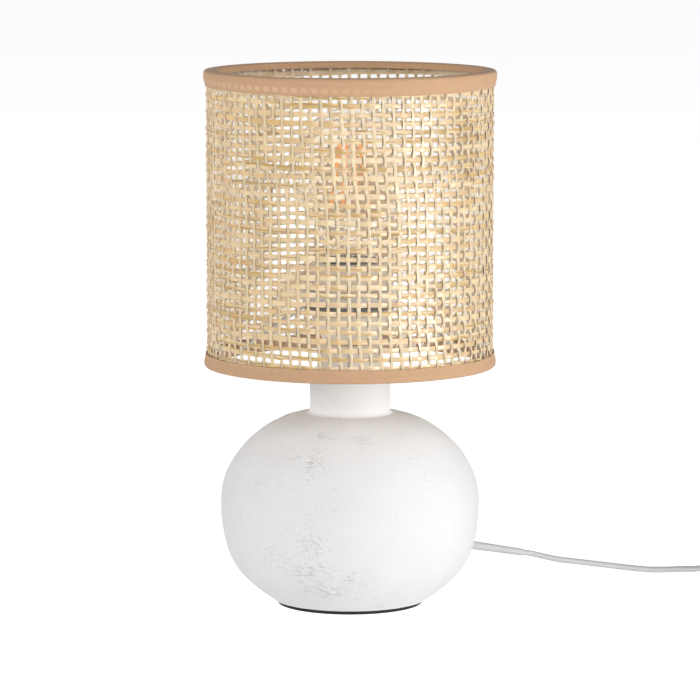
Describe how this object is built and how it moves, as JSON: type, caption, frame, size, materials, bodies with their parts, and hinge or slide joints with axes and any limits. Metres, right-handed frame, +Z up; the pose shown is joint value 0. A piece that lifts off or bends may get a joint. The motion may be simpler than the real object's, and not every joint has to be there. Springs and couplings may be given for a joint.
{
  "type": "table lamp with shade",
  "caption": "Table lamp: flattened-ball ceramic base with straight neck, screw lampholder, clear bulb and drum shade of openwork raffia with bound edges, on a flat flex with switch and plug.",
  "frame": {"origin": "middle of the foot pad's underside, on the table", "axes": "+Z up along the lamp's middle line; the flex leaves the base at the back right and runs off along +X"},
  "size_m": [0.421, 0.173, 0.2756],
  "materials": {
    "ceramic": "matte white, scratched and pitted by hand",
    "pad": "black foam",
    "flex": "satin white PVC",
    "white_plastic": "satin moulded",
    "zinc_steel": "zinc plated",
    "brass": "sprung sheet",
    "nickel": "nickel plated",
    "stoneware": "unglazed insulator",
    "black_glass": "opaque black insulator",
    "clear_glass": "clear",
    "phosphor": "amber coating",
    "film": "clear film",
    "raffia": "natural raffia and paper straw",
    "tape": "tan cotton binding tape"
  },
  "bodies": {
    "base": {"base_body": "ceramic", "foot_pad": "pad", "cord_sleeve": "flex", "inner_lead": "flex", "threaded_tube": "zinc_steel", "lower_nut": "zinc_steel", "upper_nut": "zinc_steel", "neck_cover": "white_plastic", "holder_cap": "white_plastic", "holder_shell": "white_plastic", "contact_block": "stoneware", "centre_contact": "brass", "side_contact": "brass", "cord_lead": "flex", "cord_middle": "flex", "cord_coil": "flex", "cord_tail": "flex", "switch_lower": "white_plastic", "switch_upper": "white_plastic", "plug_body": "white_plastic", "plug_pin_1": "nickel", "plug_pin_2": "nickel"},
    "shade": {"carrier_ring": "zinc_steel", "lower_ring": "zinc_steel", "upper_ring": "zinc_steel", "staked_film": "film", "weft_strand": "raffia", "top_tape": "tape", "bottom_tape": "tape", "frame_arm_1": "zinc_steel", "frame_arm_2": "zinc_steel", "frame_arm_3": "zinc_steel"},
    "clamp": {"clamp_ring": "white_plastic"},
    "bulb": {"bulb_tip": "nickel", "bulb_insulator": "black_glass", "bulb_screw_cap": "nickel", "bulb_glass": "clear_glass", "bulb_stem": "clear_glass", "filament_support": "nickel", "filament_1": "phosphor", "filament_2": "phosphor", "filament_3": "phosphor", "filament_4": "phosphor"},
    "rocker": {"switch_rocker": "white_plastic"}
  },
  "joints": [
    {"name": "shade_turn", "type": "hinge", "parent": "base", "child": "shade", "pos_m": [0, 0, 0.15465], "axis": [0, 0, 1], "continuous": true},
    {"name": "clamp_turn", "type": "hinge", "parent": "base", "child": "clamp", "pos_m": [0, 0, 0.1593], "axis": [0, 0, 1], "continuous": true},
    {"name": "bulb_lift", "type": "slide", "parent": "base", "child": "bulb", "axis": [0, 0, 1], "range_m": [0, 0.135]},
    {"name": "rocker_tip", "type": "hinge", "parent": "base", "child": "rocker", "pos_m": [0.241, 0.086, 0.0125], "axis": [0, 1, 0], "range_deg": [0, 16]}
  ]
}
